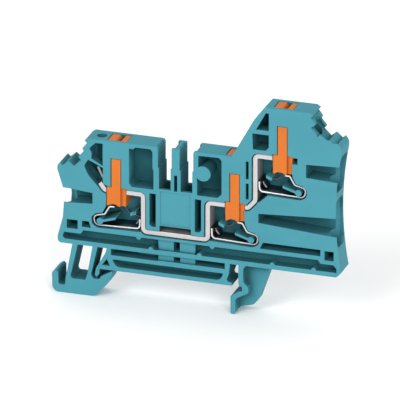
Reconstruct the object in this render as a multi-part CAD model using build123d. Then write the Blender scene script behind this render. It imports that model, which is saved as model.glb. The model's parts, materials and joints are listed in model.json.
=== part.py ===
from build123d import *
import os

# Rail-mounted feed-through terminal block, in millimetres.
# X runs along the block, Y through its thickness (the open side faces -Y), Z upwards.
# The origin is the middle of the rail seat: the top of a 35 mm rail touches Z = 0.

# Housing
body_depth = 6.1
back_wall = 1.0
front_wall = 1.0
underside = 5.5
left_end = -27.95
right_end = 42.1
low_corner = -20.35
high_corner = 34.3
slope_foot = 15.15
end_hollow_radius = 84.0
end_hollow_depth = 1.4
end_hollow_height = 21.7
end_wall = 0.35
end_recess_reach = 2.2
end_recess_radius = 3.2
end_recess_corner = 1.3
lip_thickness = 0.5

# Rail seat and feet
rail_width = 35.0
rail_thickness = 1.0
rail_gap = 0.1
foot_bottom = -7.15
hook_reach = 2.65
toe_reach = 3.2

# Bridge gaps, post and shafts in the middle
gap_floor = 22.3
gap_step = 27.65
gap_step_width = 0.25
first_gap_left = -2.8
second_gap_right = 5.43
gap_width = 2.88
lead_in_width = 0.65
lead_in_height = 1.3

# Clamps: centre of each push button and the bottom of its foot at rest
left_clamp_x = -13.45
middle_clamp_x = 15.85
right_clamp_x = 27.55
low_clamp_z = 16.45
high_clamp_z = 29.9

# Push buttons
button_width = 4.6
button_height = 16.3
button_inset = 0.1
button_front = 0.1
button_play = 0.15
button_travel = 1.8
rib_width = 2.3
rib_top = 11.95
foot_height = 4.7
rear_block_height = 3.05
stem_step = 6.6
band_width = 1.2
band_setback = 0.6
arch_radius = 1.9
arch_rise = 0.45
arch_offset = 1.65
arch_depth = 2.0
drive_slot_width = 1.4
drive_slot_depth = 1.0
drive_slot_offset = 0.3

# Tops of the two towers, just above the buttons
low_top = low_clamp_z + button_height + button_inset
high_top = high_clamp_z + button_height + button_inset

# Current bar
bar_thickness = 1.15
bar_front = 0.35
bar_back = body_depth - back_wall - 0.1
bar_bend = 0.9
bar_bottom_z = 10.8
bar_low_lift = 3.75
bar_left_x = -6.8
bar_middle_x = 9.1
bar_right_x = 20.8
bar_end_reach = 3.75
bar_notch_depth = bar_back - 1.4
bar_gap = 0.2
tongue_front = 2.4
tongue_thickness = 0.6

# Clamp springs
spring_thickness = 0.4
spring_front = 0.5
spring_back = bar_back - 0.1
leg_front = 3.0
leg_back = spring_back - 0.5
boss_radius = 0.8
boss_u = 4.0
boss_w = -4.25
loop_gap = 0.25

# Wire and probe ways
wire_bore = 2.9
wire_mouth = 3.7
probe_bore = 2.4
probe_x = -17.8

# Strip grooves along the foot of the housing
groove_depth = 2.8
groove_low = 6.65
groove_high = 9.35
pocket_depth = body_depth - back_wall
middle_depth = body_depth / 2


def panel(*corners):
    """Closed flat shape from (x, z) corners; a third number rounds that corner."""
    points = [corner[:2] for corner in corners]
    radii = [corner[2] if len(corner) > 2 else 0 for corner in corners]
    return make_face(FilletPolyline(*points, radius=radii, close=True))


def bar_panel(left, right, low, high):
    """Upright rectangle between two x and two z values."""
    return panel((left, low), (right, low), (right, high), (left, high))


def at_depth(shape, near, far):
    """Extrude a flat shape between two depths behind the open side."""
    plane = Plane.XZ.offset(body_depth / 2 - far)
    return extrude(plane * shape, amount=far - near, dir=(0, -1, 0))


def strip(points, radii, thickness):
    """Flat shape of a bent strip whose middle line follows the points."""
    return trace(FilletPolyline(*points, radius=radii), line_width=thickness)


class Clamp:
    """One spring clamp: the place of its button and the side its spring loops to."""

    def __init__(self, name, x, z, side, stop_shift, way_top):
        self.name = name
        self.x = x
        self.z = z
        self.side = side
        self.stop_shift = stop_shift
        self.way_top = way_top

    def at(self, u, w, *radius):
        """Turn a point of the clamp's own layout into a point of the block."""
        return (self.x + self.side * u, self.z + w, *radius)

    def shape(self, *corners):
        """Closed flat shape from corners of the clamp's own layout."""
        return panel(*[self.at(*corner) for corner in corners])


clamps = [
    Clamp("left", left_clamp_x, low_clamp_z, -1, -1.0, low_top + 1),
    Clamp("middle", middle_clamp_x, low_clamp_z, 1, 0.0, high_top - 5),
    Clamp("right", right_clamp_x, high_clamp_z, 1, 0.0, high_top + 1),
]


def marking_shoulder(corner_x, corner_z, side):
    """Stepped edge beside a tower's top corner: wire mouth, then two marker teeth."""
    steps = [
        (0.0, 0.0), (0.85, 0.6), (0.25, 1.15), (1.4, 2.65), (1.05, 3.3), (2.4, 4.95), (1.7, 5.7),
        (3.45, 7.4), (4.0, 6.95), (4.8, 6.3), (6.25, 7.6), (6.95, 6.95), (7.5, 7.6),
    ]
    return [(corner_x + side * out, corner_z - down) for out, down in steps]


def upper_outline():
    """Outline of the housing above its underside, with the bridge gaps."""
    left_shoulder = marking_shoulder(low_corner, low_top, -1)
    right_shoulder = marking_shoulder(high_corner, high_top, 1)
    step = gap_step_width
    tower_edge = first_gap_left
    post_left = first_gap_left + gap_width
    post_right = second_gap_right - gap_width
    mid_edge = second_gap_right
    corners = [
        *reversed(left_shoulder),
        (tower_edge - step, low_top, 0.7),
        (tower_edge - step, gap_step), (tower_edge, gap_step), (tower_edge, gap_floor),
        (post_left, gap_floor), (post_left, gap_step), (post_left + step, gap_step),
        (post_left + step, low_top), (post_right - step, low_top),
        (post_right - step, gap_step), (post_right, gap_step), (post_right, gap_floor),
        (mid_edge, gap_floor), (mid_edge, gap_step), (mid_edge + step, gap_step),
        (mid_edge + step, low_top, 0.4), (slope_foot, low_top, 0.5),
        (20.7, high_top - 3.3, 6.0), (23.3, high_top, 0.4),
        *right_shoulder,
        (right_end, high_top - 8.3, 0.2), (right_end, underside + 1.2, 0.8),
        (right_end - 1.2, underside, 0.4),
        (left_end + 0.1, underside, 0.9), (left_end, underside + 1.6, 1.2),
        (-26.6, 12.2, 3.0), (-26.35, 15.9), (-26.55, 19.7, 0.3),
        (left_end + 0.05, 24.0, 0.5), (left_end, 24.8),
    ]
    hollow_centre = right_end - end_hollow_depth + end_hollow_radius
    hollow = Pos(hollow_centre, end_hollow_height) * Circle(end_hollow_radius)
    return panel(*corners) - hollow


def seat_outline():
    """Bar that lies on the rail, with the stop claw at its left end."""
    right = rail_width / 2
    left = -right
    claw = left - rail_gap
    return panel(
        (right - 2.75, underside + 0.2), (right - 3.0, 3.0), (right - 3.55, 1.5), (right - 3.35, 0.95),
        (right - 2.3, 0.75), (right - 2.3, 0.0), (left, 0.0), (claw, -0.35), (claw, -1.3),
        (claw - 0.7, -2.15, 0.15), (claw - 1.15, -1.6, 0.2), (claw - 0.85, 0.1, 1.0),
        (claw + 1.5, 4.2, 0.8), (claw + 1.9, underside + 0.2),
    )


def foot_outline():
    """Springy release foot on the left: two legs, a toe under the rail and a lever slot."""
    edge = -rail_width / 2
    toe = edge + toe_reach
    foot = panel(
        (edge - 0.5, underside + 0.2), (edge - 2.15, -1.7, 1.0), (edge - 1.6, -2.65, 0.4),
        (edge - 0.05, -2.6, 0.4), (edge + 0.3, -1.8, 0.2), (toe, -0.15, 0.15), (toe - 0.15, -1.2, 1.5),
        (edge + 1.8, -3.8, 3.0), (edge - 1.4, foot_bottom, 1.2), (edge - 11.8, foot_bottom, 1.7),
        (edge - 11.9, -2.4, 0.2), (edge - 10.9, -1.7, 0.3), (edge - 10.3, -2.2, 0.2),
        (edge - 10.25, -5.2, 0.5), (edge - 8.65, -5.2, 0.4), (edge - 8.45, -3.0, 0.5),
        (edge - 8.0, -0.9, 0.5), (edge - 6.75, underside + 0.2),
    )
    opening = panel(
        (edge - 5.45, underside), (edge - 1.8, underside), (edge - 3.05, -1.5), (edge - 3.6, -3.3, 0.3),
        (edge - 6.95, -3.3, 0.4), (edge - 7.25, -2.6),
    )
    return foot - opening


def hook_outline():
    """Fixed hook on the right, which takes the rail edge first."""
    edge = rail_width / 2
    slot_end = edge + 2 * rail_gap
    slot_floor = -rail_thickness - rail_gap
    tip = edge - hook_reach
    return panel(
        (edge - 0.7, underside + 0.2), (edge - 0.7, 0.9), (edge - 0.5, rail_gap),
        (slot_end, rail_gap, 0.1), (slot_end, slot_floor), (edge - 0.4, slot_floor, 0.1),
        (tip, -2.7, 0.3), (tip, foot_bottom, 0.45), (tip + 0.8, foot_bottom, 0.35),
        (edge - 0.8, -6.0, 0.3), (edge + 2.3, -5.2, 0.9), (edge + 3.3, -4.0, 0.6),
        (edge + 6.65, underside + 0.2),
    )


def bar_route():
    """Corner points of the bent current bar, from its left end to its right end."""
    low_run = low_clamp_z + bar_low_lift
    high_run = high_clamp_z + bar_low_lift
    return [
        (left_clamp_x - 4.05, low_run + 1.65), (left_clamp_x - 2.9, low_run),
        (bar_left_x, low_run), (bar_left_x, bar_bottom_z),
        (bar_middle_x, bar_bottom_z), (bar_middle_x, low_run),
        (bar_right_x - 1.75, low_run), (bar_right_x, low_run + 2.0),
        (bar_right_x, high_run), (right_clamp_x + bar_end_reach, high_run),
    ]


def bar_shape(margin):
    """Flat shape of the bar, or of the channel that it lies in, wider by a margin."""
    corners = len(bar_route()) - 2
    return strip(bar_route(), [bar_bend] * corners, bar_thickness + 2 * margin)


def spring_body_line(clamp):
    """Middle line of a spring's wide part: round the boss, under it, and up along the bar."""
    loop = boss_radius + loop_gap + spring_thickness / 2
    points = [
        (0.5, -0.35), (1.75, -0.4), (2.95, -2.5), (boss_u + loop + 0.55, boss_w + loop - 0.15),
        (boss_u + loop + 0.05, boss_w - loop), (-5.7, boss_w - loop + 0.35), (-5.8, -2.7),
    ]
    radii = [0.5, 0.5, loop * 0.85, loop * 0.9, 0.6]
    return [clamp.at(*point) for point in points], radii


def spring_leg_line(clamp):
    """Middle line of a spring's narrow clamping leg, from under the button to the bar."""
    points = [(-5.35, -3.85), (-2.1, -2.85), (0.15, -0.35), (0.9, -0.36)]
    return [clamp.at(*point) for point in points], [1.0, 0.5]


def clamp_cavity(clamp):
    """Space for one spring beside the current bar, open to the front."""
    return clamp.shape(
        (-6.3, 3.4), (-2.3, 3.4), (-2.3, 0.2), (2.5, 0.2), (2.6, -0.5, 0.3), (3.35, -2.0, 0.4),
        (5.0, -2.35, 1.0), (6.05, -3.3, 0.9), (6.0, -5.2, 1.3), (4.5, -5.95, 1.0), (-6.3, -5.75),
    )


def clamp_ribs(clamp):
    """Boss in the spring's loop, its tapered rib and the stop above the clamping leg."""
    boss = Pos(*clamp.at(boss_u, boss_w)) * Circle(boss_radius)
    taper = clamp.shape(
        (boss_u - 0.2, boss_w + 0.35), (boss_u - 0.4, boss_w - 0.25), (0.1, -3.4, 0.1),
        (0.1, -2.8, 0.1),
    )
    shift = clamp.stop_shift
    stop = clamp.shape(
        (shift - 3.95, -0.6, 0.1), (shift - 2.55, -1.2, 0.1), (shift - 2.55, -2.0, 0.1),
        (shift - 3.95, -1.4, 0.1),
    )
    return [boss, taper, stop]


def button_ways(clamp):
    """Tunnel for the stem, slot for the front rib and opening for the foot of a button."""
    half = button_width / 2 + button_play
    shoulder = clamp.z + foot_height + button_play
    tunnel = bar_panel(clamp.x - half, clamp.x + half, shoulder - 0.5, clamp.way_top)
    slot_half = rib_width / 2 + button_play
    slot_top = clamp.z + rib_top + button_play
    slot = bar_panel(clamp.x - slot_half, clamp.x + slot_half, shoulder - 0.5, slot_top)
    opening = bar_panel(clamp.x - half, clamp.x + half, clamp.z - button_travel, shoulder)
    return [
        at_depth(tunnel, front_wall, pocket_depth),
        at_depth(slot, 0, front_wall + 0.2),
        at_depth(opening, 0, pocket_depth),
    ]


def nubs(places, radius):
    """Half-round bumps on the edge of a groove."""
    return [Pos(x, z) * Circle(radius) for x, z in places]


def foot_grooves():
    """Shallow strip grooves that lighten the lower edge, with their middle blocks."""
    edge = rail_width / 2
    left = panel(
        (left_end + 1.25, groove_low + 0.65, 0.3), (left_end + 1.65, groove_high - 1.0, 0.3),
        (left_end + 5.75, groove_high - 1.0), (left_end + 6.45, groove_high), (-3.15, groove_high),
        (-3.15, groove_low), (left_end + 1.75, groove_low, 0.3),
    )
    right = panel(
        (6.05, groove_low), (6.05, groove_high), (right_end - 5.7, groove_high),
        (right_end - 5.1, groove_high - 0.85), (right_end - 1.9, groove_high - 0.85, 0.1),
        (right_end - 1.15, groove_low + 0.95), (right_end - 1.15, groove_low),
    )
    left -= nubs([(-7.85, groove_high), (-4.85, groove_low)], 0.6)
    right -= nubs([(10.3, groove_high), (7.15, groove_low), (25.1, groove_low), (35.3, groove_low)], 0.6)
    seat_slot = panel(
        (3.1 - edge, 2.85, 0.2), (edge - 4.4, 2.85, 0.2), (edge - 5.2, 1.05, 1.4), (4.1 - edge, 1.05, 1.4)
    )
    block_recess = 0.5
    return [
        at_depth(left, 0, groove_depth),
        at_depth(right, 0, groove_depth),
        at_depth(bar_panel(-3.2, 6.1, groove_low + 0.1, groove_high), 0, block_recess),
        at_depth(bar_panel(0.7, 2.2, groove_low + 0.1, groove_high), 0, pocket_depth),
        at_depth(bar_panel(2.8 - edge, -3.1, 3.9, underside), 0, groove_depth),
        at_depth(bar_panel(2.8 - edge, -8.5, 3.9, underside), 0, pocket_depth),
        at_depth(bar_panel(-3.2, 6.1, 4.05, underside), 0, block_recess),
        at_depth(bar_panel(0.7, 2.3, 4.05, underside), 0, pocket_depth),
        at_depth(bar_panel(6.0, edge - 4.05, 4.05, underside), 0, pocket_depth),
        at_depth(seat_slot, 0, groove_depth),
        at_depth(panel((1.75 - edge, 2.75), (0.55 - edge, 1.1), (2.55 - edge, 1.1)), 0, pocket_depth),
    ]


def light_pockets():
    """Deep pockets that keep the moulded walls even, each open to the front."""
    boss = Pos(8.05, 27.55) * Circle(1.9)
    middle_pocket = panel(
        (6.9, 32.0, 0.3), (12.0, 32.1, 0.3), (12.65, 31.4, 0.3), (12.65, 22.9), (11.7, 21.9),
        (6.6, 21.9), (6.6, 27.8), (6.9, 28.1),
    )
    shapes = [
        panel(
            (-10.2, 31.7, 0.2), (-9.2, 31.5), (-8.6, 32.1, 0.3), (-4.9, 32.1, 0.4), (-4.4, 31.4, 0.3),
            (-4.4, 27.2), (-4.15, 26.9), (-4.15, 21.95), (-9.5, 21.95), (-10.2, 22.7),
        ),
        middle_pocket - boss,
        panel((23.5, 44.9, 0.1), (24.25, 44.9), (24.25, 40.5), (21.1, 40.5)),
        panel((20.2, 39.4), (24.25, 39.4), (24.25, 36.3), (23.5, 35.4), (20.35, 35.4)),
        bar_panel(-5.15, -3.6, 12.5, 20.9) - Pos(-5.15, 12.5) * Circle(0.4),
        bar_panel(6.05, 7.6, 12.5, 20.85) - Pos(7.6, 12.5) * Circle(0.4),
        bar_panel(18.6, 19.3, 27.6, 32.1),
        bar_panel(18.6, 19.3, 22.5, 26.5),
        panel((-25.65, 9.45), (-22.95, 9.45), (-22.95, 11.7), (-25.65, 11.7)),
        panel((-21.9, 10.2), (-19.65, 10.2), (-20.2, 11.75), (-21.9, 11.75)),
        panel((22.85, 12.0), (37.0, 12.0), (37.0, 10.4), (22.1, 10.4)),
        bar_panel(38.0, 40.25, 9.5, 11.85),
        panel((33.4, 29.85), (43.0, 29.35), (43.0, 33.55), (33.4, 33.15)),
        panel((21.7, 16.9), (43.0, 15.5), (43.0, 20.5), (21.7, 19.2)),
        panel((-28.0, 19.7), (-24.7, 19.6), (-19.25, 19.1), (-19.25, 16.4), (-26.1, 15.95), (-28.0, 15.95)),
        panel((21.2, 25.2), (24.2, 24.6), (23.9, 24.0), (21.9, 22.1), (21.2, 22.1)),
    ]
    return [at_depth(shape, 0, pocket_depth) for shape in shapes]


def bridge_shafts():
    """Two shafts from the bridge gaps down to the bar, the notch under the plate and lead-ins."""
    post_left = first_gap_left + gap_width
    post_right = second_gap_right - gap_width
    shaft_bottom = bar_bottom_z + bar_thickness / 2
    first = bar_panel(first_gap_left, post_left, shaft_bottom, gap_floor + 1)
    second = bar_panel(post_right, second_gap_right, shaft_bottom, gap_floor + 1)
    notch = bar_panel(-2.7, 5.1, shaft_bottom, 13.0)
    middle = (post_left + post_right) / 2
    post_slot = bar_panel(middle - 0.38, middle + 0.38, gap_floor - 0.15, 26.2)
    cuts = [
        at_depth(first, front_wall, pocket_depth),
        at_depth(second, front_wall, pocket_depth),
        at_depth(notch, 0, pocket_depth),
        at_depth(post_slot, 0, pocket_depth),
    ]
    step = gap_step_width
    edges = [
        (first_gap_left - step, -1), (post_left + step, 1),
        (post_right - step, -1), (second_gap_right + step, 1),
    ]
    for edge, side in edges:
        lead_in = panel(
            (edge - side * 0.1, low_top + 0.1), (edge + side * lead_in_width, low_top + 0.1),
            (edge - side * 0.1, low_top - lead_in_height),
        )
        cuts.append(at_depth(lead_in, front_wall, pocket_depth))
    return cuts


def wire_way(clamp, reach, mouth_x, mouth_z):
    """Slanted round bore with a flared mouth, from a shoulder down to the bar's end."""
    inner = Vector(clamp.x + clamp.side * reach, 0, clamp.z + 5.05)
    mouth = Vector(mouth_x, 0, mouth_z)
    along = (mouth - inner).normalized()
    length = (mouth - inner).length
    bore = Plane(origin=inner, z_dir=along) * Cylinder(
        wire_bore / 2, length + 3, align=(Align.CENTER, Align.CENTER, Align.MIN)
    )
    flare = Plane(origin=mouth - along * 1.6, z_dir=along) * Cone(
        wire_bore / 2, wire_mouth / 2 + 0.5, 3.2, align=(Align.CENTER, Align.CENTER, Align.MIN)
    )
    return [bore, flare]


def left_duct():
    """Open wire duct beside the left button and the probe window above it."""
    duct = panel(
        (-20.3, 27.5), (-21.3, 25.9, 0.5), (-20.25, 23.55, 2.0), (-16.95, 20.0, 0.6), (-15.5, 19.7),
        (-15.5, 21.3), (-16.65, 21.9), (-16.65, 25.85),
    )
    window = panel(
        (-18.45, 32.0), (-16.7, 32.0), (-16.7, 26.4), (-19.5, 27.9), (-19.4, 29.3), (-20.0, 30.5),
    )
    probe = Pos(probe_x, 0, low_top + 1) * Cylinder(
        probe_bore / 2, 8.0, align=(Align.CENTER, Align.CENTER, Align.MAX)
    )
    return [at_depth(duct, 0, pocket_depth), at_depth(window, 0, middle_depth), probe]


def end_recess(outer, side, low, high):
    """Curved hollow in an end face, behind a thin front wall, between two heights."""
    middle = (low + high) / 2
    outline = RectangleRounded(body_depth - 2 * end_wall, high - low, end_recess_corner)
    face = Plane.YZ.offset(outer - side * end_recess_reach) * Pos(0, middle) * outline
    block = extrude(face, amount=side * 2 * end_recess_reach)
    axis_x = outer + side * (end_recess_radius - end_recess_reach)
    return block & Pos(axis_x, 0, middle) * Cylinder(end_recess_radius, high - low)


def wire_chute():
    """Cut under the right tower's wire mouth, open at the front."""
    outline = panel(
        (high_corner + 1.2, high_top - 3.0), (high_corner + 0.3, high_top - 3.6),
        (high_corner + 1.95, high_top - 5.7), (high_corner + 2.7, high_top - 5.0),
    )
    return at_depth(outline, 0, pocket_depth)


def marker_lip():
    """Thin front wall that covers the foot of the right tower's marker teeth."""
    first = panel(
        (high_corner + 1.7, high_top - 5.9), (high_corner + 2.45, high_top - 5.2),
        (high_corner + 4.2, high_top - 6.4), (high_corner + 4.8, high_top - 6.3),
        (high_corner + 3.45, high_top - 7.8),
    )
    second = panel(
        (high_corner + 5.5, high_top - 7.0), (high_corner + 6.95, high_top - 6.95),
        (high_corner + 6.25, high_top - 8.0),
    )
    return at_depth(first + second, 0, lip_thickness)


def hook_pocket():
    """Step in the right leg: its S-shaped rib stays full depth and the web behind is thinner."""
    edge = rail_width / 2
    web = panel(
        (edge + 1.1, underside), (edge + 0.5, 4.6, 0.3), (edge + 0.5, 1.3, 0.5), (edge + 1.7, 0.1, 0.4),
        (edge + 1.8, -1.4, 0.4), (edge - 0.9, -2.9, 0.3), (edge - 1.45, -3.5), (edge - 1.45, -6.3),
        (edge - 0.7, -8.0), (edge + 8.5, -8.0), (edge + 8.5, underside),
    )
    return at_depth(web, 0, 2.5)


def make_housing():
    """Moulded housing, open at the front, with its feet."""
    outline = upper_outline() + seat_outline() + foot_outline() + hook_outline()
    housing = at_depth(outline, 0, body_depth)
    cuts = [at_depth(bar_shape(bar_gap), 0, pocket_depth)]
    for clamp in clamps:
        cuts.append(at_depth(clamp_cavity(clamp), 0, pocket_depth))
        cuts += button_ways(clamp)
    cuts += foot_grooves()
    cuts += light_pockets()
    cuts += bridge_shafts()
    cuts += left_duct()
    cuts.append(hook_pocket())
    hollow_face = right_end - end_hollow_depth
    cuts.append(end_recess(hollow_face, 1, 26.5, 35.8))
    cuts.append(end_recess(hollow_face, 1, 12.7, 24.6))
    cuts.append(end_recess(left_end + 1.6, -1, 12.6, 22.6))
    cuts.append(wire_chute())
    left, _, right = clamps
    cuts += wire_way(left, 4.85, low_corner - 1.75, low_top - 3.75)
    cuts += wire_way(right, 3.95, high_corner + 1.75, high_top - 3.75)
    housing -= cuts
    housing += marker_lip()
    for clamp in clamps:
        housing += [at_depth(rib, 0, body_depth) for rib in clamp_ribs(clamp)]
    return housing


def make_bar():
    """Bent current bar with a wire tongue, notched from the front where each button passes."""
    bar = at_depth(bar_shape(0), bar_front, bar_back)
    for clamp in clamps:
        half = button_width / 2 + button_play
        right = bar_end_reach if clamp.name == "right" else half
        run = clamp.z + bar_low_lift
        notch = bar_panel(clamp.x - half, clamp.x + right, run - bar_thickness, run + bar_thickness)
        bar -= at_depth(notch, 0, bar_notch_depth)
    low_run = low_clamp_z + bar_low_lift
    foot = (left_clamp_x - 3.7, low_run + 1.4)
    tip = (left_clamp_x - 5.2, low_run + 4.8)
    tongue = trace(Polyline(foot, tip), line_width=tongue_thickness)
    return bar + at_depth(tongue, tongue_front, bar_back)


def make_spring(clamp):
    """Bent spring of one clamp: a wide loop and a narrow clamping leg."""
    body_points, body_radii = spring_body_line(clamp)
    leg_points, leg_radii = spring_leg_line(clamp)
    loop = at_depth(strip(body_points, body_radii, spring_thickness), spring_front, spring_back)
    leg = at_depth(strip(leg_points, leg_radii, spring_thickness), leg_front, leg_back)
    return loop + leg


def make_button(clamp):
    """Push button: flush front rib, wide foot, stem and a head with a driver slot."""
    x = clamp.x
    z = clamp.z
    half = button_width / 2
    front_back = bar_notch_depth - button_play
    stem_front = front_wall + 0.1
    stem_back = pocket_depth - 0.1
    top = z + button_height
    band_left = x + half - band_width
    button = at_depth(bar_panel(x - half, band_left, z, z + foot_height), button_front, front_back)
    band = bar_panel(band_left, x + half, z, z + foot_height)
    button += at_depth(band, button_front + band_setback, front_back)
    button += at_depth(bar_panel(x - half, x + half, z, z + rear_block_height), front_back, bar_back - 0.1)
    rib = bar_panel(x - rib_width / 2, x + rib_width / 2, z + foot_height, z + rib_top)
    button += at_depth(rib, button_front, stem_front)
    button += at_depth(bar_panel(x - half, x + half, z + foot_height, z + stem_step), stem_front, front_back)
    button += at_depth(bar_panel(x - half, x + half, z + stem_step, top), stem_front, stem_back)
    slot_x = x + drive_slot_offset
    drive = panel(
        (slot_x - drive_slot_width / 2, top), (slot_x + drive_slot_width / 2, top),
        (slot_x, top - drive_slot_depth),
    )
    arch = Pos(x - half + arch_offset, z + arch_rise - arch_radius) * Circle(arch_radius)
    return button - [at_depth(drive, 0, body_depth), at_depth(arch, 0, arch_depth)]


def main():
    """Write every piece to its own STEP file."""
    os.makedirs("parts", exist_ok=True)
    export_step(make_housing(), "parts/housing.step")
    export_step(make_bar(), "parts/current_bar.step")
    for clamp in clamps:
        export_step(make_spring(clamp), f"parts/spring_{clamp.name}.step")
        export_step(make_button(clamp), f"parts/button_{clamp.name}.step")


main()
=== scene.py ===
"""Looks of a slim rail-mounted feed-through terminal block.

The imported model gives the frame. Every rigid piece is a softened copy of its solid, with the small
edge rounds of a moulding or a pressed strip, and the clamp springs are modelled as bent ribbons.
Lengths are in metres unless a name or a docstring says otherwise.
"""

import json
import logging
import math
from dataclasses import dataclass, field
from enum import Enum, IntEnum

import bmesh
import bpy
from mathutils import Color, Matrix, Vector

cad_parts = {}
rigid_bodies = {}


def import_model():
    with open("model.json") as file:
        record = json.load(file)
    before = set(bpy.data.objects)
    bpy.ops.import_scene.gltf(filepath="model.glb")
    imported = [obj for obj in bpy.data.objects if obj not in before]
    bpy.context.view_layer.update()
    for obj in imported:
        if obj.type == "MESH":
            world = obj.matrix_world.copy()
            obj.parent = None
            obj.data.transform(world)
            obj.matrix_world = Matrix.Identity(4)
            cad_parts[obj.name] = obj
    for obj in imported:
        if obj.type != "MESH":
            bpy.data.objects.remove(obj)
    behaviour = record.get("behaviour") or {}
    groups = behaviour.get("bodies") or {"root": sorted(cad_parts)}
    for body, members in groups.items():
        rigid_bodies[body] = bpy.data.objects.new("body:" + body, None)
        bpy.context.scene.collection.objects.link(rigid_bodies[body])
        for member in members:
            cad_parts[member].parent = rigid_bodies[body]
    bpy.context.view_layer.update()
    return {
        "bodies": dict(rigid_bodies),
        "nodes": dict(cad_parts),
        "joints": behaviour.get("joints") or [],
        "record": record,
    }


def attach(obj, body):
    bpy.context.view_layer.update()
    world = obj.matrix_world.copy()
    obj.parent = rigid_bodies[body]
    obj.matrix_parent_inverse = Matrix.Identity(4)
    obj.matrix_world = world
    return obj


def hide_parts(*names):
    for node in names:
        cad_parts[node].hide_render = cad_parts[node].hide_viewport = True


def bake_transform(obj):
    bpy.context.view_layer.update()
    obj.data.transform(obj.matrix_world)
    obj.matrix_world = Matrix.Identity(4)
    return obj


log = logging.getLogger("terminal_block")

MM = 0.001
MM_PER_METRE = 1000.0
FULL_LEVEL = 255.0

Colour = tuple[float, float, float, float]


class Slot(Enum):
    """Material slots of the record."""

    HOUSING = "housing_plastic"
    BUTTON = "button_plastic"
    BAR = "bar_metal"
    SPRING = "spring_metal"


class Place(Enum):
    """The three clamps, by where they lie along the block."""

    LEFT = "left"
    MIDDLE = "middle"
    RIGHT = "right"


class LoopSide(Enum):
    """Which way a clamp spring loops, away from the middle of the block."""

    TOWARDS_LEFT = -1
    TOWARDS_RIGHT = 1


class ColourMix(IntEnum):
    """Numbers of a mix node's colour sockets, whose names repeat for other kinds of value."""

    AMOUNT = 0
    FIRST = 6
    SECOND = 7
    RESULT = 2


def srgb(red: int, green: int, blue: int) -> Colour:
    """Turn a screen colour into a linear colour with full alpha.

    Args:
        red: Red from 0 to 255.
        green: Green from 0 to 255.
        blue: Blue from 0 to 255.

    Returns:
        Linear red, green, blue and an alpha of 1.
    """
    levels = (red / FULL_LEVEL, green / FULL_LEVEL, blue / FULL_LEVEL)
    return (*Color(levels).from_srgb_to_scene_linear(), 1.0)


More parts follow.
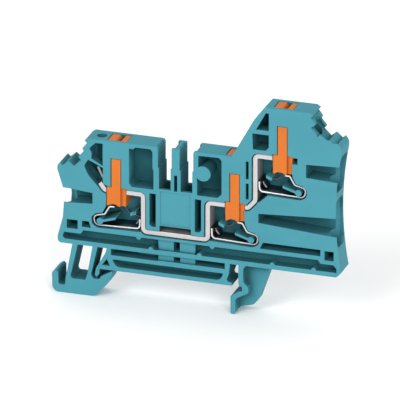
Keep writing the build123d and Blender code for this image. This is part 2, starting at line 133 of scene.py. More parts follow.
class NodeDesk:
    """Places and wires shader nodes in one tree."""

    spacing = 190.0

    def __init__(self, tree: bpy.types.NodeTree) -> None:
        """Keep the tree that the nodes go into."""
        self.tree = tree
        self.column = 0

    def place(
        self,
        kind: str,
        values: dict[str, object] | None = None,
        **settings: object,
    ) -> bpy.types.Node:
        """Add one node.

        Args:
            kind: Blender's type name of the node.
            values: Names of input sockets with their constant values.
            **settings: Properties of the node itself, such as an operation.

        Returns:
            The new node.
        """
        node = self.tree.nodes.new(kind)
        node.location = (self.column * self.spacing, 0.0)
        self.column += 1
        for name, value in settings.items():
            setattr(node, name, value)
        for socket, value in (values or {}).items():
            node.inputs[socket].default_value = value
        return node

    def group(
        self, tree: bpy.types.NodeTree, values: dict[str, float] | None = None
    ) -> bpy.types.Node:
        """Add a node group with constants on some of its inputs."""
        return self.place("ShaderNodeGroup", values, node_tree=tree)

    def wire(self, source: bpy.types.NodeSocket, target: bpy.types.NodeSocket) -> None:
        """Join an output socket to an input socket."""
        self.tree.links.new(source, target)

    def feed(self, operand: object, target: bpy.types.NodeSocket) -> None:
        """Give an input socket another socket's value or a constant.

        Args:
            operand: A socket, a number or a colour.
            target: The input socket.
        """
        if isinstance(operand, bpy.types.NodeSocket):
            self.wire(operand, target)
        else:
            target.default_value = operand

    def maths(self, operation: str, first: object, second: object) -> bpy.types.NodeSocket:
        """Add a maths node.

        Args:
            operation: Name of the operation.
            first: A socket or a number.
            second: A socket or a number.

        Returns:
            The result's socket.
        """
        node = self.place("ShaderNodeMath", operation=operation)
        self.feed(first, node.inputs[0])
        self.feed(second, node.inputs[1])
        return node.outputs[0]

    def weigh(
        self, first: bpy.types.NodeSocket, second: bpy.types.NodeSocket, share: float
    ) -> bpy.types.NodeSocket:
        """Add two values up by weight.

        Args:
            first: The first value.
            second: The second value.
            share: Weight of the first value, from 0 to 1. The second one has the rest.

        Returns:
            The sum's socket.
        """
        return self.maths(
            "ADD", self.maths("MULTIPLY", first, share), self.maths("MULTIPLY", second, 1.0 - share)
        )

    def blend_colours(self, amount: object, first: object, second: object) -> bpy.types.NodeSocket:
        """Add a colour mix.

        Args:
            amount: A socket or a number from 0, all first, to 1, all second.
            first: A socket or a colour.
            second: A socket or a colour.

        Returns:
            The mixed colour's socket.
        """
        node = self.place("ShaderNodeMix", data_type="RGBA", blend_type="MIX")
        self.feed(amount, node.inputs[ColourMix.AMOUNT])
        self.feed(first, node.inputs[ColourMix.FIRST])
        self.feed(second, node.inputs[ColourMix.SECOND])
        return node.outputs[ColourMix.RESULT]

    def remap(
        self,
        source: bpy.types.NodeSocket,
        start: object = 0.0,
        end: object = 1.0,
        low: float = 0.0,
        high: float = 1.0,
    ) -> bpy.types.NodeSocket:
        """Map the part of a value between start and end onto low to high.

        Args:
            source: The value's socket.
            start: A socket or a number, which becomes low.
            end: A socket or a number, which becomes high.
            low: Result at the start.
            high: Result at the end.

        Returns:
            The result's socket.
        """
        node = self.place("ShaderNodeMapRange", {"To Min": low, "To Max": high})
        self.wire(source, node.inputs["Value"])
        self.feed(start, node.inputs["From Min"])
        self.feed(end, node.inputs["From Max"])
        return node.outputs[0]

    def position(self) -> bpy.types.NodeSocket:
        """Add the coordinates of the piece, which a texture moves with."""
        return self.place("ShaderNodeTexCoord").outputs["Object"]

    def frequency(self, feature_mm: object) -> object:
        """Turn the width of a feature into a texture's scale.

        Args:
            feature_mm: A socket or a number.

        Returns:
            The scale, as a socket or a number like the width.
        """
        if isinstance(feature_mm, bpy.types.NodeSocket):
            return self.maths("DIVIDE", MM_PER_METRE, feature_mm)
        return MM_PER_METRE / feature_mm

    def noise(
        self,
        position: bpy.types.NodeSocket,
        feature_mm: object,
        detail: float,
        roughness: float,
        distortion: float = 0.0,
    ) -> bpy.types.NodeSocket:
        """Add a noise.

        Args:
            position: Where it is read.
            feature_mm: A socket or a number, about the width of its features.
            detail: How many finer layers it has.
            roughness: How strong the finer layers are.
            distortion: How far it is stirred.

        Returns:
            The noise's socket, from 0 to 1.
        """
        values = {"Detail": detail, "Roughness": roughness, "Distortion": distortion}
        node = self.place("ShaderNodeTexNoise", values)
        self.wire(position, node.inputs["Vector"])
        self.feed(self.frequency(feature_mm), node.inputs["Scale"])
        return node.outputs[0]

    def bump(
        self, height: bpy.types.NodeSocket, strength: float, depth: float
    ) -> bpy.types.NodeSocket:
        """Turn a height from 0 to 1 into a surface normal.

        Args:
            height: The height's socket.
            strength: How much of the effect is used, from 0 to 1.
            depth: Real depth of the full height.

        Returns:
            The normal's socket.
        """
        node = self.place("ShaderNodeBump", {"Strength": strength, "Distance": depth})
        self.wire(height, node.inputs["Height"])
        return node.outputs["Normal"]


def new_group(
    name: str, inputs: dict[str, float], outputs: tuple[str, ...]
) -> tuple[bpy.types.NodeTree, NodeDesk, bpy.types.Node, bpy.types.Node]:
    """Start a shader node group whose inputs and outputs are plain values.

    Args:
        name: The group's name.
        inputs: Names of the inputs, each with its default.
        outputs: Names of the outputs.

    Returns:
        The group, a desk to place nodes in it, its input node and its output node.
    """
    tree = bpy.data.node_groups.new(name, "ShaderNodeTree")
    for label, default in inputs.items():
        socket = tree.interface.new_socket(label, in_out="INPUT", socket_type="NodeSocketFloat")
        socket.default_value = default
    for label in outputs:
        tree.interface.new_socket(label, in_out="OUTPUT", socket_type="NodeSocketFloat")
    desk = NodeDesk(tree)
    return tree, desk, desk.place("NodeGroupInput"), desk.place("NodeGroupOutput")


class SurfaceEffects:
    """Shader node groups that several finishes share, each built once."""

    def __init__(self) -> None:
        """Build the groups."""
        self.edge_wear = self._edge_wear()
        self.mould_grain = self._mould_grain()
        self.rolled_lines = self._rolled_lines()
        self.handling = self._handling()
        # Masks for painted shade in recesses and cavities, and deeper in the pockets.
        self.recess_shade = self._recess_shade("recess_shade", own_only=True)
        self.cavity_shade = self._recess_shade("cavity_shade", own_only=False)
        self.pocket_depth_shade = self._pocket_depth_shade()

    def _edge_wear(self, samples: int = 4) -> bpy.types.NodeTree:
        """Build a mask of rubbed edges, broken up by noise.

        Args:
            samples: Rays that look for a nearby edge.

        Returns:
            The group.
        """
        inputs = {"Width": 0.15 * MM, "Patch mm": 1.5, "Amount": 1.0}
        tree, desk, given, result = new_group("edge_wear", inputs, ("Mask",))
        rounded = desk.place("ShaderNodeBevel", samples=samples)
        desk.wire(given.outputs["Width"], rounded.inputs["Radius"])
        surface = desk.place("ShaderNodeNewGeometry")
        compare = desk.place("ShaderNodeVectorMath", operation="DOT_PRODUCT")
        desk.wire(rounded.outputs["Normal"], compare.inputs[0])
        desk.wire(surface.outputs["Normal"], compare.inputs[1])
        edge = desk.remap(compare.outputs["Value"], start=0.995, end=0.86)
        patches = desk.noise(desk.position(), given.outputs["Patch mm"], detail=4.0, roughness=0.65)
        broken = desk.remap(patches, start=0.36, end=0.62)
        worn = desk.maths("MULTIPLY", edge, broken)
        desk.wire(desk.maths("MULTIPLY", worn, given.outputs["Amount"]), result.inputs["Mask"])
        return tree

    def _mould_grain(self, pits_to_grain: float = 0.55) -> bpy.types.NodeTree:
        """Build a fine spark-eroded mould texture with slow flow waves, and its tone.

        Args:
            pits_to_grain: How dense the pits are beside the fine grain.

        Returns:
            The group.
        """
        inputs = {"Grain mm": 0.12, "Flow mm": 9.0}
        tree, desk, given, result = new_group("mould_grain", inputs, ("Height", "Tone"))
        position = desk.position()
        fine = desk.noise(position, given.outputs["Grain mm"], detail=3.0, roughness=0.6)
        pits = desk.place("ShaderNodeTexVoronoi", feature="F1")
        desk.wire(position, pits.inputs["Vector"])
        grain_scale = desk.frequency(given.outputs["Grain mm"])
        desk.wire(desk.maths("MULTIPLY", grain_scale, pits_to_grain), pits.inputs["Scale"])
        flow = desk.noise(
            position, given.outputs["Flow mm"], detail=5.0, roughness=0.55, distortion=0.6
        )
        height = desk.weigh(fine, pits.outputs["Distance"], share=0.65)
        desk.wire(height, result.inputs["Height"])
        desk.wire(desk.weigh(flow, fine, share=0.75), result.inputs["Tone"])
        return tree

    def _rolled_lines(self, cloud_mm: float = 2.4) -> bpy.types.NodeTree:
        """Build the fine lines that rolling leaves along a strip, across its width.

        Args:
            cloud_mm: Width of the clouds in the plate.

        Returns:
            The group.
        """
        inputs = {"Line mm": 0.06, "Stretch": 0.06}
        tree, desk, given, result = new_group("rolled_lines", inputs, ("Height", "Tone"))
        position = desk.position()
        split = desk.place("ShaderNodeSeparateXYZ")
        desk.wire(position, split.inputs[0])
        join = desk.place("ShaderNodeCombineXYZ")
        for axis in ("X", "Z"):
            stretched = desk.maths("MULTIPLY", split.outputs[axis], given.outputs["Stretch"])
            desk.wire(stretched, join.inputs[axis])
        desk.wire(split.outputs["Y"], join.inputs["Y"])
        lines = desk.noise(join.outputs[0], given.outputs["Line mm"], detail=4.0, roughness=0.7)
        cloud = desk.noise(position, cloud_mm, detail=4.0, roughness=0.6)
        desk.wire(lines, result.inputs["Height"])
        desk.wire(desk.weigh(lines, cloud, share=0.45), result.inputs["Tone"])
        return tree

    def _recess_shade(
        self, name: str, own_only: bool, samples: int = 8, open_corner: float = 0.08
    ) -> bpy.types.NodeTree:
        """Build a mask of deep pockets and inner corners, for painted shade that makes a surface
        darker and duller.

        Args:
            name: The group's name.
            own_only: Whether only the piece's own walls count, and not its neighbours.
            samples: Rays that look for walls.
            open_corner: Share of closed directions below which nothing is masked.

        Returns:
            The group.
        """
        inputs = {"Reach": 4.0 * MM, "Full": 0.5}
        tree, desk, given, result = new_group(name, inputs, ("Mask",))
        openness = desk.place("ShaderNodeAmbientOcclusion", samples=samples, only_local=own_only)
        desk.wire(given.outputs["Reach"], openness.inputs["Distance"])
        closed = desk.maths("SUBTRACT", 1.0, openness.outputs["AO"])
        mask = desk.remap(closed, start=open_corner, end=given.outputs["Full"])
        desk.wire(mask, result.inputs["Mask"])
        return tree

    def _pocket_depth_shade(self) -> bpy.types.NodeTree:
        """Build a mask for painted shade that grows from the open front of the block into its
        pockets.

        Returns:
            The group.
        """
        inputs = {"Start mm": -1.8, "Full mm": -0.2}
        tree, desk, given, result = new_group("pocket_depth_shade", inputs, ("Mask",))
        split = desk.place("ShaderNodeSeparateXYZ")
        desk.wire(desk.position(), split.inputs[0])
        depth_mm = desk.maths("DIVIDE", split.outputs["Y"], MM)
        mask = desk.remap(depth_mm, start=given.outputs["Start mm"], end=given.outputs["Full mm"])
        desk.wire(mask, result.inputs["Mask"])
        return tree

    def _handling(self) -> bpy.types.NodeTree:
        """Build a mask of faint rubs and finger marks that change the gloss.

        Returns:
            The group.
        """
        tree, desk, given, result = new_group("handling", {"Mark mm": 3.0}, ("Mask",))
        marks = desk.noise(
            desk.position(), given.outputs["Mark mm"], detail=6.0, roughness=0.7, distortion=1.4
        )
        desk.wire(desk.remap(marks, start=0.42, end=0.68), result.inputs["Mask"])
        return tree


def blank_material(name: str) -> tuple[bpy.types.Material, NodeDesk]:
    """Start a material with an empty node tree.

    Args:
        name: The material's name.

    Returns:
        The material and a desk to place nodes in it.
    """
    material = bpy.data.materials.new(name)
    material.use_nodes = True
    material.node_tree.nodes.clear()
    return material, NodeDesk(material.node_tree)


def close_material(
    desk: NodeDesk,
    colour: bpy.types.NodeSocket,
    rough: bpy.types.NodeSocket,
    normal: bpy.types.NodeSocket,
    values: dict[str, float],
) -> None:
    """Join a finish's colour, roughness and normal to its shader and output.

    Args:
        desk: The material's desk.
        colour: Base colour.
        rough: Roughness.
        normal: Surface normal.
        values: Names of the shader's other inputs with their constants.
    """
    shader = desk.place("ShaderNodeBsdfPrincipled", values)
    desk.wire(colour, shader.inputs["Base Color"])
    desk.wire(rough, shader.inputs["Roughness"])
    desk.wire(normal, shader.inputs["Normal"])
    output = desk.place("ShaderNodeOutputMaterial")
    desk.wire(shader.outputs[0], output.inputs["Surface"])


@dataclass(frozen=True)
class MouldedPlastic:
    """A moulded plastic with mould grain, flow tone, rubbed edges, handling marks and painted shade
    in its pockets and inner corners.
    """

    name: str
    colour: Colour
    shade: Colour
    rubbed: Colour
    matt: float
    gloss_change: float
    grain_mm: float
    grain_depth_mm: float
    wear_width_mm: float
    wear: float
    # Colour of the painted shade in pockets and inner corners, and how far its mask reaches.
    painted_shade: Colour
    shade_reach_mm: float
    recess_dulling: float = 0.35
    wear_polish: float = 0.08
    grain_strength: float = 0.6
    tone_low: float = 0.3
    tone_high: float = 0.7
    specular: float = 0.12

    def build(self, effects: SurfaceEffects) -> bpy.types.Material:
        """Make the material.

        Args:
            effects: The shared node groups.

        Returns:
            The finished material.
        """
        material, desk = blank_material(self.name)
        grain = desk.group(effects.mould_grain, {"Grain mm": self.grain_mm})
        wear = desk.group(
            effects.edge_wear, {"Width": self.wear_width_mm * MM, "Amount": self.wear}
        ).outputs["Mask"]
        marks = desk.group(effects.handling).outputs["Mask"]
        # Painted shade: a mask of pockets and inner corners, closed by the piece's own walls.
        painted_shade = desk.group(
            effects.recess_shade, {"Reach": self.shade_reach_mm * MM}
        ).outputs["Mask"]
        tone = desk.remap(grain.outputs["Tone"], start=self.tone_low, end=self.tone_high)
        body = desk.blend_colours(tone, self.shade, self.colour)
        # Painted shade: pockets and inner corners are blended towards the darker painted shade
        # colour.
        body = desk.blend_colours(painted_shade, body, self.painted_shade)
        colour = desk.blend_colours(wear, body, self.rubbed)
        rough = desk.remap(
            tone, low=self.matt - self.gloss_change, high=self.matt + self.gloss_change
        )
        rough = desk.maths("SUBTRACT", rough, desk.maths("MULTIPLY", marks, self.gloss_change))
        rough = desk.maths("SUBTRACT", rough, desk.maths("MULTIPLY", wear, self.wear_polish))
        rough = desk.maths("ADD", rough, desk.maths("MULTIPLY", painted_shade, self.recess_dulling))
        normal = desk.bump(
            grain.outputs["Height"], self.grain_strength, self.grain_depth_mm * MM
        )
        close_material(desk, colour, rough, normal, {"Specular IOR Level": self.specular})
        return material


@dataclass(frozen=True)
class StripMetal:
    """A bright rolled or plated metal strip with fine lines, cloudy plate, rubbed edges, and painted
    shade in its cavities and deeper in the block's pockets.
    """

    name: str
    colour: Colour
    shade: Colour
    rubbed: Colour
    matt: float
    gloss_change: float
    line_mm: float
    line_depth_mm: float
    wear_width_mm: float
    # Colour of the painted shade in cavities and deep in the pockets, and the settings of its two
    # masks.
    painted_shade: Colour
    shade_reach_mm: float
    shade_full: float
    shade_from_mm: float
    shade_to_mm: float
    metallic: float = 1.0
    mark_mm: float = 1.8
    line_strength: float = 0.5
    tone_low: float = 0.32
    tone_high: float = 0.68

    def build(self, effects: SurfaceEffects) -> bpy.types.Material:
        """Make the material.

        Args:
            effects: The shared node groups.

        Returns:
            The finished material.
        """
        material, desk = blank_material(self.name)
        lines = desk.group(effects.rolled_lines, {"Line mm": self.line_mm})
        wear = desk.group(
            effects.edge_wear, {"Width": self.wear_width_mm * MM}
        ).outputs["Mask"]
        marks = desk.group(effects.handling, {"Mark mm": self.mark_mm}).outputs["Mask"]
        # Painted shade: a mask of cavities, which neighbouring pieces close as well.
        painted_shade = desk.group(
            effects.cavity_shade,
            {"Reach": self.shade_reach_mm * MM, "Full": self.shade_full},
        ).outputs["Mask"]
        # Painted shade: a mask that grows with depth into the block's pockets, by position alone.
        depth = desk.group(
            effects.pocket_depth_shade, {"Start mm": self.shade_from_mm, "Full mm": self.shade_to_mm}
        ).outputs["Mask"]
        tone = desk.remap(lines.outputs["Tone"], start=self.tone_low, end=self.tone_high)
        plate = desk.blend_colours(tone, self.shade, self.colour)
        plate = desk.blend_colours(wear, plate, self.rubbed)
        # Painted shade: cavities and the deeper parts are blended towards the darker painted shade
        # colour.
        colour = desk.blend_colours(desk.maths("MAXIMUM", painted_shade, depth), plate, self.painted_shade)
        rough = desk.remap(
            tone, low=self.matt + self.gloss_change, high=self.matt - self.gloss_change
        )
        rough = desk.maths("ADD", rough, desk.maths("MULTIPLY", marks, self.gloss_change))
        normal = desk.bump(lines.outputs["Height"], self.line_strength, self.line_depth_mm * MM)
        close_material(desk, colour, rough, normal, {"Metallic": self.metallic})
        return material


@dataclass(frozen=True)
class PaleFloor:
    """A plain pale studio floor."""

    name: str = "studio_floor"
    colour: Colour = (0.95, 0.95, 0.95, 1.0)
    matt: float = 0.9
    specular: float = 0.1

    def build(self) -> bpy.types.Material:
        """Make the floor's material.

        Returns:
            The finished material.
        """
        material = bpy.data.materials.new(self.name)
        material.use_nodes = True
        shader = material.node_tree.nodes["Principled BSDF"]
        shader.inputs["Base Color"].default_value = self.colour
        shader.inputs["Roughness"].default_value = self.matt
        shader.inputs["Specular IOR Level"].default_value = self.specular
        return material


HOUSING_FINISH = MouldedPlastic(
    name="housing_teal",
    colour=srgb(67, 137, 150),
    shade=srgb(63, 130, 143),
    rubbed=srgb(92, 162, 174),
    matt=0.6,
    gloss_change=0.05,
    grain_mm=0.16,
    grain_depth_mm=0.012,
    wear_width_mm=0.16,
    wear=0.55,
    # Painted shade colour of the housing's pockets and inner corners.
    painted_shade=srgb(39, 91, 99),
    shade_reach_mm=6.0,
)

BUTTON_FINISH = MouldedPlastic(
    name="button_orange",
    colour=srgb(196, 107, 42),
    shade=srgb(189, 100, 37),
    rubbed=srgb(216, 132, 60),
    matt=0.42,
    gloss_change=0.05,
    grain_mm=0.12,
    grain_depth_mm=0.008,
    wear_width_mm=0.18,
    wear=0.6,
    # Painted shade colour of the button's inner corners.
    painted_shade=srgb(150, 70, 25),
    shade_reach_mm=1.5,
)

BAR_FINISH = StripMetal(
    name="bar_tin_plate",
    colour=srgb(206, 203, 204),
    shade=srgb(192, 189, 190),
    rubbed=srgb(218, 212, 206),
    matt=0.44,
    gloss_change=0.06,
    line_mm=0.07,
    line_depth_mm=0.006,
    wear_width_mm=0.12,
    # Painted shade colour of the bar in cavities and deep in the pockets, and where that shade
    # starts and is full.
    painted_shade=srgb(124, 122, 121),
    shade_reach_mm=1.8,
    shade_full=0.7,
    shade_from_mm=-2.4,
    shade_to_mm=3.0,
    metallic=0.72,
)

SPRING_FINISH = StripMetal(
    name="spring_bright_steel",
    colour=srgb(240, 239, 240),
    shade=srgb(222, 221, 223),
    rubbed=srgb(220, 219, 218),
    matt=0.38,
    gloss_change=0.06,
    line_mm=0.05,
    line_depth_mm=0.004,
    wear_width_mm=0.08,
    # Painted shade colour of the springs in cavities and deep in the pockets, and where that shade
    # starts and is full.
    painted_shade=srgb(88, 90, 94),
    shade_reach_mm=4.5,
    shade_full=0.45,
    shade_from_mm=-1.9,
    shade_to_mm=-0.3,
)


def finish_piece(
    piece: bpy.types.Object,
    material: bpy.types.Material,
    crease_degrees: float = 50.0,
    flat_face_weight: int = 80,
) -> None:
    """Shade a piece smoothly between its edges and give it its finish.

    Args:
        piece: The new object.
        material: The finish.
        crease_degrees: Edges that turn more than this stay sharp.
        flat_face_weight: How much the large faces rule the shading, from 1 to 100.
    """
    mesh = piece.data
    mesh.materials.clear()
    mesh.materials.append(material)
    mesh.polygons.foreach_set("use_smooth", [True] * len(mesh.polygons))
    mesh.set_sharp_from_angle(angle=math.radians(crease_degrees))
    even = piece.modifiers.new("even_shading", "WEIGHTED_NORMAL")
    even.keep_sharp = True
    even.weight = flat_face_weight


def piece_from(bm: bmesh.types.BMesh, name: str) -> bpy.types.Object:
    """Turn a bmesh into an object at the origin and free the bmesh.

    Args:
        bm: The finished bmesh.
        name: The piece's name.

    Returns:
        The new object, linked to the scene.
    """
    mesh = bpy.data.meshes.new(name)
    bm.to_mesh(mesh)
    bm.free()
    piece = bpy.data.objects.new(name, mesh)
    bpy.context.scene.collection.objects.link(piece)
    return piece


def joined(parts: list[bmesh.types.BMesh]) -> bmesh.types.BMesh:
    """Gather several bmeshes in the first one and free the others.

    Args:
        parts: The bmeshes.

    Returns:
        The first bmesh, with all of them in it.
    """
    whole, *others = parts
    for part in others:
        mesh = bpy.data.meshes.new("part")
        part.to_mesh(mesh)
        part.free()
        whole.from_mesh(mesh)
        bpy.data.meshes.remove(mesh)
    return whole


def round_edges(
    bm: bmesh.types.BMesh,
    offset: float,
    edge_degrees: float,
    segments: int = 2,
    profile: float = 0.5,
) -> None:
    """Round every edge that turns more than an angle.

    Args:
        bm: The bmesh.
        offset: How far the round reaches from the edge.
        edge_degrees: Smallest turn that counts as an edge.
        segments: Number of facets across the round.
        profile: Form of the round, which is circular at 0.5.
    """
    limit = math.radians(edge_degrees)
    edges = [
        edge
        for edge in bm.edges
        if len(edge.link_faces) == 2 and edge.calc_face_angle(0.0) > limit
    ]
    bmesh.ops.bevel(
        bm,
        geom=edges,
        offset=offset,
        offset_type="OFFSET",
        segments=segments,
        profile=profile,
        affect="EDGES",
        clamp_overlap=False,
        material=-1,
    )


@dataclass(frozen=True)
class SunkPanel:
    """A shallow plain panel in the block's open side."""

    left: float = -2.5 * MM
    right: float = 4.9 * MM
    low: float = 13.3 * MM
    high: float = 21.75 * MM
    depth: float = 0.16 * MM
    reach: float = 0.001 * MM
    snap: float = 0.0001 * MM

    def press(self, bm: bmesh.types.BMesh) -> None:
        """Cut the panel's outline into the front faces and push it in.

        Args:
            bm: The housing, with its flat faces joined.
        """
        front = min(vert.co.y for vert in bm.verts)
        cuts = [((0.0, front, height), (0.0, 0.0, 1.0)) for height in (self.low, self.high)]
        cuts += [((side, front, 0.0), (1.0, 0.0, 0.0)) for side in (self.left, self.right)]
        for place, normal in cuts:
            faces = [face for face in bm.faces if self._overlaps(face, front)]
            parts = {part for face in faces for part in (face, *face.edges, *face.verts)}
            bmesh.ops.bisect_plane(
                bm, geom=list(parts), dist=self.snap, plane_co=place, plane_no=normal
            )
        inside = [face for face in bm.faces if self._overlaps(face, front)]
        grown = bmesh.ops.extrude_face_region(bm, geom=inside)["geom"]
        verts = [part for part in grown if isinstance(part, bmesh.types.BMVert)]
        bmesh.ops.translate(bm, verts=verts, vec=(0.0, self.depth, 0.0))
        bmesh.ops.delete(bm, geom=inside, context="FACES")
        bmesh.ops.recalc_face_normals(bm, faces=bm.faces)

    def _overlaps(self, face: bmesh.types.BMFace, front: float) -> bool:
        """Tell whether a face lies in the open side and reaches into the panel.

        Args:
            face: The face.
            front: Where the open side lies, along y.

        Returns:
            Whether both hold.
        """
        if any(abs(vert.co.y - front) > self.reach for vert in face.verts):
            return False
        along = [vert.co.x for vert in face.verts]
        up = [vert.co.z for vert in face.verts]
        return (
            min(along) < self.right - self.reach
            and max(along) > self.left + self.reach
            and min(up) < self.high - self.reach
            and max(up) > self.low + self.reach
        )


@dataclass
class RoundedCopy:
    """A copy of a rigid solid with the edge rounds that its tool leaves."""

    edge_round: float
    edge_degrees: float = 33.0
    flat_degrees: float = 0.5
    merge_within: float = 0.03 * MM
    shortest_edge: float = 0.015 * MM
    panel: SunkPanel | None = None

    def build(self, solid: bpy.types.Object, name: str) -> bpy.types.Object:
        """Copy the solid's mesh, merge it, join its flat faces and round its edges.

        Args:
            solid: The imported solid.
            name: Name of the new piece.

        Returns:
            The new piece.
        """
        bm = bmesh.new()
        bm.from_mesh(solid.data)
        bmesh.ops.remove_doubles(bm, verts=bm.verts, dist=self.merge_within)
        bmesh.ops.dissolve_degenerate(bm, edges=bm.edges, dist=self.shortest_edge)
        bmesh.ops.dissolve_limit(
            bm, angle_limit=math.radians(self.flat_degrees), verts=bm.verts, edges=bm.edges
        )
        if self.panel:
            self.panel.press(bm)
        round_edges(bm, self.edge_round, self.edge_degrees)
        bmesh.ops.recalc_face_normals(bm, faces=bm.faces)
        return piece_from(bm, name)


@dataclass
class SolidPiece:
    """A rigid piece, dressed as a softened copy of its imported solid."""

    node: str
    body: str
    name: str
    slot: Slot
    rounds: RoundedCopy

    def build(self, frame: dict, material: bpy.types.Material) -> None:
        """Make the piece and hang it on its body.

        Args:
            frame: The loaded frame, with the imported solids.
            material: The piece's finish.
        """
        piece = self.rounds.build(frame["nodes"][self.node], self.name)
        finish_piece(piece, material)
        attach(piece, self.body)
        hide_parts(self.node)
        log.info("%s: %d faces", self.name, len(piece.data.polygons))


@dataclass
class Housing(SolidPiece):
    """The moulded housing with its ribs, wire ways and feet."""

    node: str = "housing"
    body: str = "housing"
    name: str = "housing_shell"
    slot: Slot = Slot.HOUSING
    rounds: RoundedCopy = field(
        default_factory=lambda: RoundedCopy(edge_round=0.07 * MM, panel=SunkPanel())
    )


@dataclass
class CurrentBar(SolidPiece):
    """The bent strip that carries the current through the block."""

    node: str = "current_bar"
    body: str = "housing"
    name: str = "plated_bar"
    slot: Slot = Slot.BAR
    rounds: RoundedCopy = field(default_factory=lambda: RoundedCopy(edge_round=0.12 * MM))


@dataclass
class PushButton(SolidPiece):
    """One push button, which opens the clamp under it."""

    slot: Slot = Slot.BUTTON
    rounds: RoundedCopy = field(default_factory=lambda: RoundedCopy(edge_round=0.12 * MM))

    @classmethod
    def over(cls, place: Place) -> "PushButton":
        """Make the button of one clamp, which is a body of its own."""
        node = f"button_{place.value}"
        return cls(node=node, body=node, name=f"push_{node}")


def rounded_path(
    corners: list[Vector],
    radii: list[float],
    turn_degrees: float,
    run: float,
    fewest_steps: int = 2,
) -> list[Vector]:
    """Sample a path of straight runs joined by arcs.

    Args:
        corners: The path's ends and corners, in order.
        radii: Bend radius at each inner corner.
        turn_degrees: Largest turn between two samples of an arc.
        run: Longest straight step.
        fewest_steps: Smallest number of steps in an arc.

    Returns:
        Points along the path.
    """
    samples = [corners[0]]
    for index, radius in enumerate(radii, start=1):
        before, corner, after = corners[index - 1 : index + 2]
        back = (before - corner).normalized()
        ahead = (after - corner).normalized()
        turn = math.pi - back.angle(ahead)
        tangent = radius * math.tan(turn / 2)
        centre = corner + (back + ahead).normalized() * (radius / math.cos(turn / 2))
        start = corner + back * tangent
        axis = (start - centre).cross(corner + ahead * tangent - centre).normalized()
        steps = max(fewest_steps, math.ceil(math.degrees(turn) / turn_degrees))
        for step in range(steps + 1):
            rotation = Matrix.Rotation(turn * step / steps, 3, axis)
            samples.append(centre + rotation @ (start - centre))
    samples.append(corners[-1])
    path = [samples[0]]
    for sample in samples[1:]:
        gap = sample - path[-1]
        pieces = max(1, math.ceil(gap.length / run))
        start = path[-1].copy()
        path += [start + gap * (step / pieces) for step in range(1, pieces + 1)]
    return path


@dataclass(frozen=True)
class Bend:
    """An end or a corner of a spring's middle line, in millimetres from the clamp's centre.

    u runs from the bar towards the round end of the loop, w runs up, and an end has no radius.
    """

    u: float
    w: float
    radius: float = 0.0


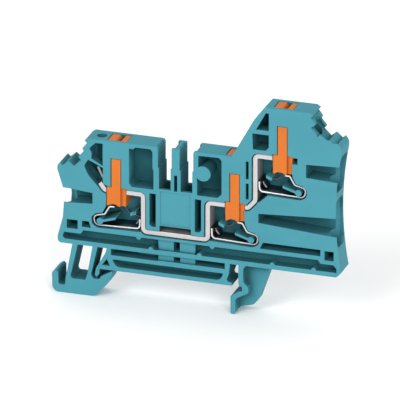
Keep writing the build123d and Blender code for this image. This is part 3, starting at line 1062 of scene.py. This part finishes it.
@dataclass
class ClampSpring:
    """One clamp spring: a wide loop round the boss and a narrow clamping leg with a bent tip.

    The centre, the boss, loop_radius, still_below and pressed_above are in millimetres.
    """

    place: Place
    centre: tuple[float, float]
    side: LoopSide
    thickness: float = 0.4 * MM
    loop_front: float = -2.55 * MM
    loop_back: float = 1.85 * MM
    leg_front: float = 0.85 * MM
    tip_front: float = -1.2 * MM
    leg_back: float = 1.35 * MM
    boss: tuple[float, float] = (4.0, -4.25)
    loop_radius: float = 1.25
    still_below: float = -3.4
    pressed_above: float = -0.4
    edge_round: float = 0.06 * MM
    edge_degrees: float = 60.0
    turn_degrees: float = 12.0
    run: float = 0.5 * MM

    @property
    def node(self) -> str:
        """Name of the spring's solid."""
        return f"spring_{self.place.value}"

    def _loop_route(self) -> list[Bend]:
        """Lay out the loop from under the button, round the boss and back to the bar.

        Returns:
            Its bends.
        """
        u, w = self.boss
        radius = self.loop_radius
        return [
            Bend(0.5, -0.35),
            Bend(1.75, -0.4, radius=0.5),
            Bend(2.95, -2.5, radius=0.5),
            Bend(u + radius + 0.55, w + radius - 0.15, radius=radius * 0.85),
            Bend(u + radius + 0.05, w - radius, radius=radius * 0.9),
            Bend(-5.7, w - radius + 0.35, radius=0.95),
            Bend(-5.8, -2.7),
        ]

    def _leg_route(self) -> list[Bend]:
        """Lay out the leg from its tip up to the button's foot.

        Returns:
            Its bends.
        """
        return [
            Bend(-5.0, -3.6),
            Bend(-2.1, -2.85, radius=1.0),
            Bend(0.15, -0.35, radius=0.5),
            Bend(0.9, -0.36),
        ]

    def _tip_route(self) -> list[Bend]:
        """Lay out the tip from the bar down to the loop's lower run."""
        return [Bend(-5.35, -3.1), Bend(-5.1, -3.8, radius=0.6), Bend(-4.4, -4.65)]

    def _at(self, bend: Bend) -> Vector:
        """Turn a bend of the clamp's layout into a point of the block."""
        x, z = self.centre
        return Vector(((x + self.side.value * bend.u) * MM, 0.0, (z + bend.w) * MM))

    def _ribbon(
        self, name: str, bends: list[Bend], front: float, back: float
    ) -> bmesh.types.BMesh:
        """Bend a strip along a path.

        Args:
            name: What the strip is, for the log.
            bends: Its middle line.
            front: Depth of its front edge.
            back: Depth of its back edge.

        Returns:
            The solid strip.
        """
        route = rounded_path(
            [self._at(bend) for bend in bends],
            [bend.radius * MM for bend in bends[1:-1]],
            turn_degrees=self.turn_degrees,
            run=self.run,
        )
        bm = bmesh.new()
        ends = [bm.verts.new(route[0] + Vector((0.0, depth, 0.0))) for depth in (front, back)]
        edge = bm.edges.new(ends)
        for before, after in zip(route, route[1:]):
            grown = bmesh.ops.extrude_edge_only(bm, edges=[edge])["geom"]
            verts = [part for part in grown if isinstance(part, bmesh.types.BMVert)]
            bmesh.ops.translate(bm, verts=verts, vec=after - before)
            edge = next(part for part in grown if isinstance(part, bmesh.types.BMEdge))
        bmesh.ops.recalc_face_normals(bm, faces=bm.faces)
        for vert in bm.verts:
            vert.normal_update()
        outward = {vert: vert.normal.copy() for vert in bm.verts}
        for vert, normal in outward.items():
            vert.co -= normal * (self.thickness / 2)
        bmesh.ops.solidify(bm, geom=bm.faces[:], thickness=-self.thickness)
        bmesh.ops.recalc_face_normals(bm, faces=bm.faces)
        round_edges(bm, self.edge_round, self.edge_degrees)
        log.info("%s of the %s spring: %d faces", name, self.place.value, len(bm.faces))
        return bm

    def build(self, material: bpy.types.Material) -> None:
        """Make the spring as one fixed piece in place of its solid.

        Args:
            material: The spring's finish.
        """
        strips = [
            self._ribbon("loop", self._loop_route(), self.loop_front, self.loop_back),
            self._ribbon("leg", self._leg_route(), self.leg_front, self.leg_back),
            self._ribbon("tip", self._tip_route(), self.tip_front, self.leg_back),
        ]
        spring = piece_from(joined(strips), f"bent_{self.node}")
        finish_piece(spring, material, crease_degrees=self.edge_degrees)
        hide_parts(self.node)
        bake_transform(spring)


@dataclass(frozen=True)
class SoftLamp:
    """A soft square lamp: its place, the length of its side and its power in watts."""

    name: str
    place: tuple[float, float, float]
    side: float
    power: float

    def hang(self, target: Vector) -> None:
        """Hang the lamp and aim it.

        Args:
            target: The point that it faces.
        """
        data = bpy.data.lights.new(self.name, "AREA")
        data.shape = "SQUARE"
        data.size = self.side
        data.energy = self.power
        lamp = bpy.data.objects.new(self.name, data)
        lamp.location = self.place
        lamp.rotation_mode = "QUATERNION"
        lamp.rotation_quaternion = (target - Vector(self.place)).to_track_quat("-Z", "Y")
        bpy.context.scene.collection.objects.link(lamp)


@dataclass
class Studio:
    """The plain studio round the block: floor, soft lights, pale world and camera."""

    azimuth: float = 18.1
    elevation: float = 22.8
    target: tuple[float, float, float] = (4.44 * MM, 5.88 * MM, 16.91 * MM)
    view_width: float = 94.05 * MM
    distance: float = 3.5
    sensor_width_mm: float = 36.0
    nearest: float = 0.05
    farthest: float = 50.0
    floor_height: float = -7.2 * MM
    floor_size: float = 6.0
    floor_squares: int = 4
    world_colour: Colour = (1.0, 1.0, 1.0, 1.0)
    world_strength: float = 0.72
    lamps: tuple[SoftLamp, ...] = (
        SoftLamp("key_light", (-0.5, -1.4, 1.05), side=0.8, power=14.0),
        SoftLamp("fill_light", (0.95, -1.3, 0.6), side=0.7, power=13.0),
        SoftLamp("top_light", (0.1, 0.5, 1.5), side=1.1, power=4.0),
    )

    def build(self) -> None:
        """Set up the studio."""
        self._floor()
        for lamp in self.lamps:
            lamp.hang(Vector(self.target))
        self._world()
        self._camera()

    def _floor(self) -> None:
        """Lay the floor under the block's feet."""
        bm = bmesh.new()
        squares = self.floor_squares
        bmesh.ops.create_grid(bm, x_segments=squares, y_segments=squares, size=self.floor_size / 2)
        bmesh.ops.translate(bm, verts=bm.verts, vec=(0.0, 0.0, self.floor_height))
        floor = piece_from(bm, "studio_floor")
        floor.data.materials.append(PaleFloor().build())

    def _world(self) -> None:
        """Give the scene an even pale surround."""
        world = bpy.data.worlds.new("studio_world")
        world.use_nodes = True
        background = world.node_tree.nodes["Background"]
        background.inputs["Color"].default_value = self.world_colour
        background.inputs["Strength"].default_value = self.world_strength
        bpy.context.scene.world = world

    def _camera(self) -> None:
        """Look at the block from the photograph's side."""
        azimuth = math.radians(self.azimuth)
        elevation = math.radians(self.elevation)
        back = Vector(
            (
                math.sin(azimuth) * math.cos(elevation),
                -math.cos(azimuth) * math.cos(elevation),
                math.sin(elevation),
            )
        )
        data = bpy.data.cameras.new("studio_camera")
        data.sensor_width = self.sensor_width_mm
        data.lens = self.sensor_width_mm * self.distance / self.view_width
        data.clip_start = self.nearest
        data.clip_end = self.farthest
        camera = bpy.data.objects.new("studio_camera", data)
        camera.location = Vector(self.target) + back * self.distance
        camera.rotation_mode = "QUATERNION"
        camera.rotation_quaternion = (-back).to_track_quat("-Z", "Y")
        bpy.context.scene.collection.objects.link(camera)
        bpy.context.scene.camera = camera


@dataclass
class TerminalBlock:
    """The whole block: housing, current bar, buttons and springs."""

    frame: dict
    housing: Housing = field(default_factory=Housing)
    bar: CurrentBar = field(default_factory=CurrentBar)
    buttons: list[PushButton] = field(
        default_factory=lambda: [PushButton.over(place) for place in Place]
    )
    springs: list[ClampSpring] = field(
        default_factory=lambda: [
            ClampSpring(Place.LEFT, (-13.45, 16.45), LoopSide.TOWARDS_LEFT),
            ClampSpring(Place.MIDDLE, (15.85, 16.45), LoopSide.TOWARDS_RIGHT),
            ClampSpring(Place.RIGHT, (27.55, 29.9), LoopSide.TOWARDS_RIGHT),
        ]
    )

    def build(self) -> None:
        """Build and dress every piece."""
        effects = SurfaceEffects()
        self.housing.build(self.frame, HOUSING_FINISH.build(effects))
        self.bar.build(self.frame, BAR_FINISH.build(effects))
        button_material = BUTTON_FINISH.build(effects)
        for button in self.buttons:
            button.build(self.frame, button_material)
        spring_material = SPRING_FINISH.build(effects)
        for spring in self.springs:
            spring.build(spring_material)


def main() -> None:
    """Load the frame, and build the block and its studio."""
    logging.basicConfig(level=logging.INFO, format="%(message)s")
    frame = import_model()
    TerminalBlock(frame).build()
    Studio().build()
    bpy.context.scene.view_settings.view_transform = "Standard"


if __name__ == "__main__":
    main()
